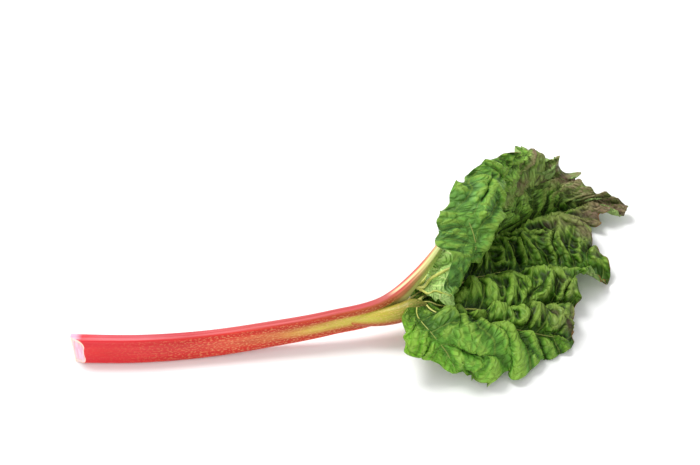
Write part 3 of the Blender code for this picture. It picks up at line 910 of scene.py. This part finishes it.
# ---------------------------------------------------------------- ribs
def add_tube(mesh_data, middles, radii, layer, sides):
    """Add a round tube with closed ends through the middles."""
    along = np.gradient(middles, axis=0)
    along /= np.linalg.norm(along, axis=1)[:, None]
    made = bmesh.ops.create_circle(mesh_data, segments=sides, radius=1.0, cap_ends=False)
    ring = sorted(made["verts"], key=lambda v: math.atan2(v.co.y, v.co.x))
    edges = list(dict.fromkeys(e for v in ring for e in v.link_edges))
    first = list(ring)
    side = np.cross(along[0], (0.0, 0.0, 1.0))
    for k, middle in enumerate(middles):
        if k:
            edges, ring = next_ring(mesh_data, edges, ring)
        side = side - along[k] * side.dot(along[k])
        side /= np.linalg.norm(side)
        top = np.cross(side, along[k])
        for j, vertex in enumerate(ring):
            turn = 2 * math.pi * j / sides
            point = middle + radii[k] * (side * math.cos(turn) + top * math.sin(turn))
            point[2] = max(point[2], FLOOR_GAP / 5 - LEAF_BASE[2])
            vertex.co = (point + LEAF_BASE) * MM
            vertex[layer] = k / (len(middles) - 1)
    mesh_data.faces.new(first[::-1])
    mesh_data.faces.new(ring)


def leaf_ribs(points, name, thicken, sunk, finish_material):
    """The main ribs, each a tapering cord let into the blade."""
    normals = grid_normals(points, FINE_GRID, 4)
    mesh_data = bmesh.new()
    layer = mesh_data.verts.layers.float.new("share")
    for vein, thick, begin in RIBS:
        far = float(reach(np.array([vein], float))[0])
        last = min(far * RIB_END, float(lobed_reach(np.array([vein], float))[0]) - RIB_CLEAR)
        radius = np.linspace(begin, last, max(12, int(far / RIB_STEP)))
        turn = math.radians(vein)
        x = radius * math.cos(turn)
        y = radius * math.sin(turn)
        middles = smooth_line(read_grid(points, FINE_GRID, x, y, lobed_reach))
        tops = read_grid(normals, FINE_GRID, x, y, lobed_reach)
        share = (radius - begin) / (far - begin)
        size = RIB_TIP + (thick * thicken - RIB_TIP) * (1 - share) ** RIB_TAPER
        middles = middles - tops * (size * sunk)[:, None]
        add_tube(mesh_data, middles, size, layer, TUBE_SIDES)
    bmesh.ops.recalc_face_normals(mesh_data, faces=mesh_data.faces)
    put_in_order(mesh_data)
    return finish(mesh_data, name, finish_material)


def smooth_line(middles):
    """A line of points with its small kinks evened out."""
    line = middles.copy()
    for _ in range(RIB_ROUNDS):
        line[1:-1] = (line[:-2] + 2 * line[1:-1] + line[2:]) / 4
    return line


# ---------------------------------------------------------------- materials
def put(tree, kind, **settings):
    """A new node with its settings."""
    node = tree.nodes.new(kind)
    for name, value in settings.items():
        setattr(node, name, value)
    return node


def feed(tree, socket, value):
    """Set a socket to a number or colour, or link it to an output."""
    if isinstance(value, bpy.types.NodeSocket):
        tree.links.new(value, socket)
    elif isinstance(value, tuple) and len(value) == 3 and socket.type == "RGBA":
        socket.default_value = (*value, 1.0)
    else:
        socket.default_value = value


def sums(tree, operation, *values):
    """The output of a Math node."""
    node = put(tree, "ShaderNodeMath", operation=operation)
    for socket, value in zip(node.inputs, values):
        feed(tree, socket, value)
    return node.outputs[0]


def span(tree, value, low, high, to_low=0.0, to_high=1.0):
    """A value mapped smoothly from one range to another."""
    node = put(tree, "ShaderNodeMapRange", interpolation_type="SMOOTHSTEP")
    for socket, given in zip(node.inputs, (value, low, high, to_low, to_high)):
        feed(tree, socket, given)
    return node.outputs[0]


def product(tree, first, *others):
    """Values multiplied together."""
    for value in others:
        first = sums(tree, "MULTIPLY", first, value)
    return first


def mixed(tree, factor, first, second):
    """One colour turning into another."""
    node = put(tree, "ShaderNodeMix", data_type="RGBA")
    feed(tree, node.inputs["Factor"], factor)
    feed(tree, node.inputs[6], first)
    feed(tree, node.inputs[7], second)
    return node.outputs[2]


def mark(tree, name):
    """One of the marks that a piece carries on its corners."""
    return put(tree, "ShaderNodeAttribute", attribute_name=name)


def ramp(tree, factor, stops):
    """Colours along a factor, from (place, colour) stops."""
    node = put(tree, "ShaderNodeValToRGB")
    while len(node.color_ramp.elements) < len(stops):
        node.color_ramp.elements.new(0.5)
    for element, (place, colour) in zip(node.color_ramp.elements, stops):
        element.position = place
        element.color = (*colour, 1.0)
    feed(tree, node.inputs[0], factor)
    return node.outputs[0]


def stretched(tree, vector, stretch):
    """A vector scaled along its axes."""
    node = put(tree, "ShaderNodeMapping")
    feed(tree, node.inputs["Vector"], vector)
    node.inputs["Scale"].default_value = stretch
    return node.outputs[0]


def noise(tree, vector, scale, detail=2.0):
    """Noise from 0 to 1 over a vector."""
    node = put(tree, "ShaderNodeTexNoise")
    feed(tree, node.inputs["Vector"], vector)
    node.inputs["Scale"].default_value = scale
    node.inputs["Detail"].default_value = detail
    return node.outputs["Fac"]


def new_material(name):
    """A material with an empty node tree and its output."""
    made = bpy.data.materials.new(name)
    made.use_nodes = True
    made.node_tree.nodes.clear()
    return made, made.node_tree, put(made.node_tree, "ShaderNodeOutputMaterial")


def principled(tree, sockets):
    """The output of a Principled shader with the named sockets set or linked."""
    shader = put(tree, "ShaderNodeBsdfPrincipled")
    for name, value in sockets.items():
        feed(tree, shader.inputs[name], value)
    return shader.outputs[0]


def fine_grain():
    """A group shared by the materials: a grain from 0 to 1 and the surface that it makes."""
    group = bpy.data.node_groups.new("fine_grain", "ShaderNodeTree")
    for name, kind in (("Place", "NodeSocketVector"), ("Scale", "NodeSocketFloat"),
                       ("Depth", "NodeSocketFloat")):
        group.interface.new_socket(name=name, in_out="INPUT", socket_type=kind)
    for name, kind in (("Grain", "NodeSocketFloat"), ("Normal", "NodeSocketVector")):
        group.interface.new_socket(name=name, in_out="OUTPUT", socket_type=kind)
    given = put(group, "NodeGroupInput")
    coarse = put(group, "ShaderNodeTexNoise")
    feed(group, coarse.inputs["Vector"], given.outputs["Place"])
    feed(group, coarse.inputs["Scale"], given.outputs["Scale"])
    coarse.inputs["Detail"].default_value = 3.0
    bump = put(group, "ShaderNodeBump")
    bump.inputs["Strength"].default_value = 0.6
    feed(group, bump.inputs["Distance"], given.outputs["Depth"])
    feed(group, bump.inputs["Height"], coarse.outputs["Fac"])
    result = put(group, "NodeGroupOutput")
    feed(group, result.inputs["Grain"], coarse.outputs["Fac"])
    feed(group, result.inputs["Normal"], bump.outputs[0])
    return group


def grained(tree, group, place, scale, depth):
    """The grain and the surface of the shared group, at a scale and a depth in metres."""
    node = put(tree, "ShaderNodeGroup", node_tree=group)
    for name, value in (("Place", place), ("Scale", scale), ("Depth", depth)):
        feed(tree, node.inputs[name], value)
    return node.outputs["Grain"], node.outputs["Normal"]


def dimmed(tree, colour, brightness):
    """A colour times a brightness."""
    node = put(tree, "ShaderNodeVectorMath", operation="SCALE")
    feed(tree, node.inputs[0], colour)
    feed(tree, node.inputs["Scale"], brightness)
    return node.outputs[0]


def leaf_cells(tree, flat):
    """Distance from the small creases of the leaf, from 0 on a crease to 1 in a cell."""
    bent = put(tree, "ShaderNodeTexNoise")
    feed(tree, bent.inputs["Vector"], flat)
    bent.inputs["Scale"].default_value = 90.0
    shift = put(tree, "ShaderNodeVectorMath", operation="SCALE")
    feed(tree, shift.inputs[0], bent.outputs["Color"])
    shift.inputs["Scale"].default_value = 0.006
    moved = put(tree, "ShaderNodeVectorMath", operation="ADD")
    feed(tree, moved.inputs[0], flat)
    feed(tree, moved.inputs[1], shift.outputs[0])
    cells = put(tree, "ShaderNodeTexVoronoi", feature="DISTANCE_TO_EDGE", voronoi_dimensions="2D")
    feed(tree, cells.inputs["Vector"], moved.outputs[0])
    cells.inputs["Scale"].default_value = 190.0
    return span(tree, cells.outputs["Distance"], 0.0, 0.32)


def leaf_green(tree, parts, share, blotch, cells, ridge):
    """The green of the upper side: painted shade in the folds, creases and inner part, painted light
    on the crests, the front and the far half, and each part's green.
    """
    height = mark(tree, "relief").outputs["Fac"]
    way = mark(tree, "way").outputs["Fac"]
    # painted shade in the folds and painted light on the crests, by how far each point stands out
    green = ramp(tree, span(tree, height, -1.8, 1.8), SHADED_LEAF_GREENS)
    for name, strength, colour in PART_GREENS:
        green = mixed(tree, product(tree, parts[name], strength), green, colour)
    green = mixed(tree, span(tree, blotch, 0.35, 0.7), green,
                  mixed(tree, 0.35, green, BLOTCH_GREEN))
    # painted shade: the inner part by the midrib darker, the rest of the blade a little lighter
    green = dimmed(tree, green, span(tree, parts["inner"], 0.0, 1.0, 1.15, 0.82))
    # painted light: the far half, shaded by the flap, made brighter and paler
    green = dimmed(tree, green, span(tree, parts["upper_half"], 0.0, 1.0, 1.0, 3.0))
    green = mixed(tree, product(tree, parts["upper_half"], 0.66), green, UPPER_HALF_PAINTED_LIGHT)
    # painted light and shade: the front part darker near the leaf base and lighter out towards its
    # margin
    painted_front_light = span(tree, share, 0.42, 0.78, 0.56, 1.38)
    green = mixed(tree, parts["front"], green, dimmed(tree, green, painted_front_light))
    # painted shade in the small creases and painted light in the cells between them; the creases of
    # the near half are less dark
    crease_shade = span(tree, way, -60.0, -80.0, 0.80, 0.90)
    green = dimmed(tree, green, span(tree, cells, 0.0, 0.7, crease_shade, 1.08))
    # painted shade in the fine valleys, lighter in the outer parts
    valley_shade = span(tree, parts["outer"], 0.0, 1.0, 0.40, 0.70)
    green = dimmed(tree, green, span(tree, ridge, -0.7, 0.0, valley_shade, 1.0))
    # painted highlight on the fine crests
    return mixed(tree, span(tree, ridge, 0.15, 0.65, 0.0, 0.6), green, CREST_HIGHLIGHT)


def purple(tree, parts, share, blotch, ridge):
    """How purple the blade is: on the crests near the far margin, and at the tip."""
    crest = mark(tree, "crest").outputs["Fac"]
    tint = product(tree, span(tree, share, 0.6, 0.95), span(tree, crest, 0.3, 0.7),
                   parts["tinted"], span(tree, blotch, 0.25, 0.55),
                   span(tree, parts["lobe"], 0.0, 1.0, 1.0, 0.3),
                   span(tree, parts["upper_half"], 0.0, 1.0, 0.6, 0.9))
    tip = product(tree, span(tree, share, 0.78, 0.92), parts["tip"], 0.8,
                  span(tree, ridge, -0.4, 0.2, 0.45, 1.0))
    return sums(tree, "MAXIMUM", tint, tip)


def leaf_veins(tree):
    """Side veins and the small creases, from 0 between them to 1 on a side vein."""
    count = mark(tree, "count").outputs["Fac"]
    crease = mark(tree, "crease").outputs["Fac"]
    across = sums(tree, "FRACT", sums(tree, "ADD", count, 100.5))
    off = sums(tree, "ABSOLUTE", sums(tree, "SUBTRACT", across, 0.5))
    small = product(tree, span(tree, crease, 0.7, 0.1), 0.35)
    return sums(tree, "MAXIMUM", span(tree, off, 0.05, 0.015), small)


def blade_parts(tree):
    """How far each part of the blade is reached, from 0 to 1."""
    way = mark(tree, "way").outputs["Fac"]
    parts = {name: product(tree, *(span(tree, way, low, high) for low, high in edges))
             for name, edges in LEAF_PARTS.items()}
    parts["outer"] = sums(tree, "MAXIMUM", span(tree, way, -55.0, -75.0),
                          span(tree, way, 62.0, 80.0))
    return parts


def leaf_material(grain_group):
    """Crinkled green leaf: two sides, pale veins, tinted crests and a red-brown rim."""
    made, tree, out = new_material("leaf_green")
    flat = mark(tree, "flat").outputs["Vector"]
    edge = mark(tree, "edge").outputs["Fac"]
    share = mark(tree, "share").outputs["Fac"]
    side = mark(tree, "side").outputs["Fac"]
    ridge = mark(tree, "ridge").outputs["Fac"]
    blotch = noise(tree, flat, 28.0, 3.0)
    cells = leaf_cells(tree, flat)
    fine, surface = grained(tree, grain_group, flat, 420.0, 0.0005)
    parts = blade_parts(tree)
    green = leaf_green(tree, parts, share, blotch, cells, ridge)
    green = mixed(tree, purple(tree, parts, share, blotch, ridge), green, PURPLE_TINT)
    veins = leaf_veins(tree)
    upper = mixed(tree, product(tree, veins, 0.45), green, VEIN_GREEN)
    under = mixed(tree, product(tree, veins, 0.7), UNDER_GREEN, UNDER_VEIN)
    # painted light: the underside lighter towards the leaf base, where the flap shades it
    under = dimmed(tree, under, span(tree, share, 0.7, 0.35, 1.0, 1.6))
    rim = product(tree, span(tree, edge, 1.2, 0.2), span(tree, blotch, 0.45, 0.65))
    colour = mixed(tree, rim, mixed(tree, side, upper, under),
                   mixed(tree, parts["outer"], RED_RIM, PALE_RIM))
    bump = put(tree, "ShaderNodeBump")
    bump.inputs["Strength"].default_value = 0.8
    bump.inputs["Distance"].default_value = 0.0020
    feed(tree, bump.inputs["Height"], cells)
    feed(tree, bump.inputs["Normal"], surface)
    shader = principled(tree, {"Base Color": colour, "Normal": bump.outputs[0],
                               "Roughness": span(tree, fine, 0.3, 0.7, 0.40, 0.58),
                               "Specular IOR Level": 0.24})
    glow = put(tree, "ShaderNodeBsdfTranslucent")
    feed(tree, glow.inputs["Color"], mixed(tree, 0.5, colour, LIGHT_THROUGH))
    both = put(tree, "ShaderNodeMixShader")
    both.inputs[0].default_value = 0.22
    tree.links.new(shader, both.inputs[1])
    tree.links.new(glow.outputs[0], both.inputs[2])
    tree.links.new(both.outputs[0], out.inputs[0])
    return made


def rib_material(grain_group):
    """Pale yellow-green ribs."""
    made, tree, out = new_material("rib_yellow")
    place = put(tree, "ShaderNodeTexCoord").outputs["Object"]
    share = mark(tree, "share").outputs["Fac"]
    grain, surface = grained(tree, grain_group, place, 500.0, 0.0002)
    colour = ramp(tree, share, RIB_COLOURS)
    colour = mixed(tree, span(tree, grain, 0.4, 0.7), colour,
                   mixed(tree, 0.3, colour, (0.25, 0.20, 0.05)))
    shader = principled(tree, {"Base Color": colour, "Normal": surface, "Roughness": 0.4})
    tree.links.new(shader, out.inputs[0])
    return made


def skin_material(grain_group):
    """Stalk skin: red, with a yellow-green channel towards the leaf, and fine stripes."""
    made, tree, out = new_material("stalk_skin")
    flat = mark(tree, "flat").outputs["Vector"]
    share = mark(tree, "share").outputs["Fac"]
    turn = mark(tree, "turn").outputs["Fac"]
    channel = sums(tree, "ABSOLUTE", sums(tree, "SUBTRACT", turn, 0.5))
    inside = product(tree, span(tree, turn, 0.385, 0.43), span(tree, turn, 0.565, 0.50))
    streak, surface = grained(tree, grain_group, stretched(tree, flat, (0.035, 1.0, 1.0)), 480.0,
                              0.0004)
    speck = noise(tree, stretched(tree, flat, (0.5, 1.0, 1.0)), 800.0)
    blotch = noise(tree, stretched(tree, flat, (0.3, 1.0, 1.0)), 60.0, 3.0)
    face = dimmed(tree, ramp(tree, share, SKIN_FACE), 0.9)
    edge = dimmed(tree, ramp(tree, share, SKIN_EDGE), 0.88)
    low = ramp(tree, share, SKIN_LOW)
    back = ramp(tree, share, SKIN_BACK)
    skin = mixed(tree, span(tree, channel, 0.172, 0.198), edge, back)
    skin = mixed(tree, span(tree, turn, 0.585, 0.615), skin, low)
    skin = mixed(tree, inside, skin, face)
    dark = product(tree, span(tree, streak, 0.56, 0.42), span(tree, share, 0.1, 0.4, 0.25, 1.0),
                   span(tree, blotch, 0.3, 0.6, 0.4, 1.0),
                   span(tree, share, 0.75, 0.95, 0.55, 0.2))
    skin = mixed(tree, dark, skin, dimmed(tree, edge, 0.75))
    spots = product(tree, span(tree, speck, 0.50, 0.64), span(tree, channel, 0.17, 0.13),
                    span(tree, share, 0.1, 0.55, 0.04, 0.4))
    skin = mixed(tree, spots, skin, (0.84, 0.48, 0.20))
    beyond = span(tree, share, 1.02, 1.07)
    stripes = ramp(tree, turn, RIB_STRIPES)
    paler = product(tree, span(tree, share, 1.07, 1.22, 0.0, 0.85), span(tree, turn, 0.20, 0.24))
    stripes = mixed(tree, paler, stripes, (0.80, 0.86, 0.34))
    stripes = mixed(tree, span(tree, share, 1.13, 1.40), stripes, (0.56, 0.68, 0.24))
    streaky = span(tree, streak, 0.6, 0.4, 0.0, 0.3)
    stripes = mixed(tree, streaky, stripes, dimmed(tree, stripes, 0.7))
    skin = dimmed(tree, mixed(tree, beyond, skin, stripes), 0.88)
    shader = principled(tree, {"Base Color": skin, "Normal": surface, "Roughness": 0.36,
                               "Specular IOR Level": 0.28})
    tree.links.new(shader, out.inputs[0])
    return made


def cut_material(grain_group):
    """The sliced flesh: a cream rim round a pale pink core."""
    made, tree, out = new_material("cut_flesh")
    place = put(tree, "ShaderNodeTexCoord").outputs["Object"]
    core = mark(tree, "core").outputs["Fac"]
    fibres, surface = grained(tree, grain_group, stretched(tree, place, (1.0, 1.0, 0.12)), 700.0,
                              0.0002)
    colour = ramp(tree, sums(tree, "DIVIDE", core, CUT_RINGS[-1][0]), CUT_COLOURS)
    colour = mixed(tree, span(tree, fibres, 0.42, 0.6, 0.0, 0.6), colour, (0.84, 0.60, 0.72))
    shader = principled(tree, {"Base Color": colour, "Normal": surface, "Roughness": 0.3,
                               "Specular IOR Level": 0.3, "Subsurface Weight": 0.2,
                               "Subsurface Scale": 0.003})
    tree.links.new(shader, out.inputs[0])
    return made


# ---------------------------------------------------------------- studio
def studio():
    """Pale floor, white surroundings, two large soft lights and the camera."""
    made, tree, out = new_material("floor_white")
    shader = principled(tree, {"Base Color": (0.92, 0.92, 0.92), "Roughness": 0.8})
    tree.links.new(shader, out.inputs[0])
    mesh_data = bmesh.new()
    bmesh.ops.create_grid(mesh_data, x_segments=1, y_segments=1, size=FLOOR_SIZE)
    floor = finish(mesh_data, "floor", made)
    scene = bpy.context.scene
    world = bpy.data.worlds.new("studio")
    world.use_nodes = True
    world.node_tree.nodes["Background"].inputs[0].default_value = (1.0, 1.0, 1.0, 1.0)
    world.node_tree.nodes["Background"].inputs[1].default_value = FILL
    scene.world = world
    scene.view_settings.view_transform = "Standard"
    for name, place, size, power in SOFTBOXES:
        lamp = bpy.data.lights.new(name, "AREA")
        lamp.shape = "DISK"
        lamp.size = size
        lamp.energy = power
        softbox = bpy.data.objects.new(name, lamp)
        softbox.location = place
        softbox.rotation_euler = (-Vector(place)).to_track_quat("-Z", "Y").to_euler()
        scene.collection.objects.link(softbox)
    lens = bpy.data.cameras.new("camera")
    lens.lens = CAMERA_LENS
    lens.sensor_width = 36.0
    camera = bpy.data.objects.new("camera", lens)
    tilt = math.radians(CAMERA_TILT)
    target = Vector(((LEAF_BASE[0] + CAMERA_AIM[0]) * MM, (LEAF_BASE[1] + CAMERA_AIM[1]) * MM, 0.0))
    camera.location = target + CAMERA_FAR * Vector((0.0, -math.cos(tilt), math.sin(tilt)))
    camera.rotation_euler = (math.pi / 2 - tilt, 0.0, 0.0)
    scene.collection.objects.link(camera)
    scene.camera = camera


def main():
    """Build every piece, then the studio."""
    points, x, y, marks = crinkled_blade()
    grain_group = fine_grain()
    blade = leaf_blade(points, x, y, marks, leaf_material(grain_group))
    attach(blade, "root")
    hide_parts("leaf_blade")
    yellow = rib_material(grain_group)
    for name, thicken, sunk in RIB_KINDS:
        ribs = leaf_ribs(points, name, thicken, sunk, yellow)
        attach(ribs, "root")
    skin = skin_material(grain_group)
    flesh = stalk(skin, cut_material(grain_group))
    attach(flesh, "root")
    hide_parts("stalk")
    end = throat(skin)
    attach(end, "root")
    studio()


main()
